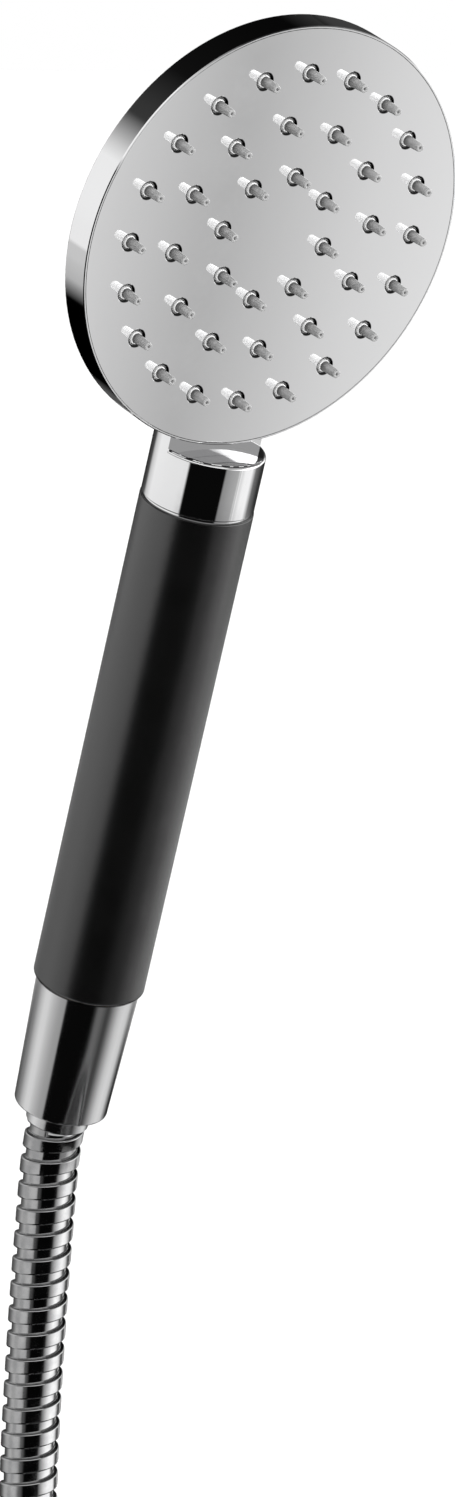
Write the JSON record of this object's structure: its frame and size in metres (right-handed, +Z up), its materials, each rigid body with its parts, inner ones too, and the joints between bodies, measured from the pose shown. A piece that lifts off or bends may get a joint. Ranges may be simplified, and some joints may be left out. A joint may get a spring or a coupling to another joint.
{
  "type": "handheld shower head",
  "caption": "Slim round handheld shower head with soft nozzles, chrome neck, black grip sleeve, conical hose nut and a coiled spiral metal hose.",
  "frame": {"origin": "middle of the cone nut's length, on the handle's axis, where the wall bracket holds the handset", "axes": "+Z up, +X to the right of someone facing the spray, the spray faces -Y; the handle leans 20 degrees forward from +Z"},
  "size_m": [0.169, 0.185, 0.4574],
  "materials": {
    "chrome": "polished chrome plate",
    "face_chrome": "mirror polished chrome plate",
    "silicone": "translucent grey silicone",
    "grey_plastic": "moulded",
    "seal_rubber": "moulded",
    "steel": "plain",
    "brass": "turned",
    "grip_rubber": "soft-touch matte",
    "regulator_plastic": "moulded",
    "hose_steel": "polished interlocked strip",
    "tie_plastic": "nylon strap"
  },
  "bodies": {
    "hose_line": {"hose_ferrule": "chrome", "nut_washer": "seal_rubber", "hose_collar": "chrome", "hose_liner": "seal_rubber", "hose": "hose_steel", "hose_coil": "hose_steel", "hose_ties": "tie_plastic", "hose_tail": "hose_steel", "far_collar": "chrome", "far_liner": "seal_rubber", "far_ferrule": "chrome", "wall_washer": "seal_rubber"},
    "hose_nut": {"cone_nut": "chrome"},
    "handset": {"head_shell": "chrome", "face_plate": "face_chrome", "nozzle_mat": "silicone", "spray_plate": "grey_plastic", "chamber_seal": "seal_rubber", "spray_screws": "steel", "head_spigot": "brass", "spigot_seal": "seal_rubber", "neck": "chrome", "neck_seal": "seal_rubber", "core_tube": "brass", "grip_sleeve": "grip_rubber", "tail_fitting": "brass", "tail_seal": "seal_rubber", "flow_regulator": "regulator_plastic", "filter_screen": "grey_plastic"},
    "outlet_nut": {"wall_nut": "chrome"}
  },
  "joints": [
    {"name": "handset_unscrew", "type": "slide", "parent": "hose_line", "child": "handset", "axis": [0, -0.342, 0.9397], "range_m": [0, 0.00997]},
    {"name": "nut_spin", "type": "hinge", "parent": "hose_line", "child": "hose_nut", "pos_m": [0, 0, 0], "axis": [0, 0.342, -0.9397], "range_deg": [0, 1980]},
    {"name": "outlet_nut_spin", "type": "hinge", "parent": "hose_line", "child": "outlet_nut", "pos_m": [0.075, 0.01512, -0.20051], "axis": [0, 0.9945, 0.1045], "continuous": true}
  ],
  "couplings": [
    {"joint": "nut_spin", "follows": "handset_unscrew", "rad_per_m": 3463.7}
  ]
}
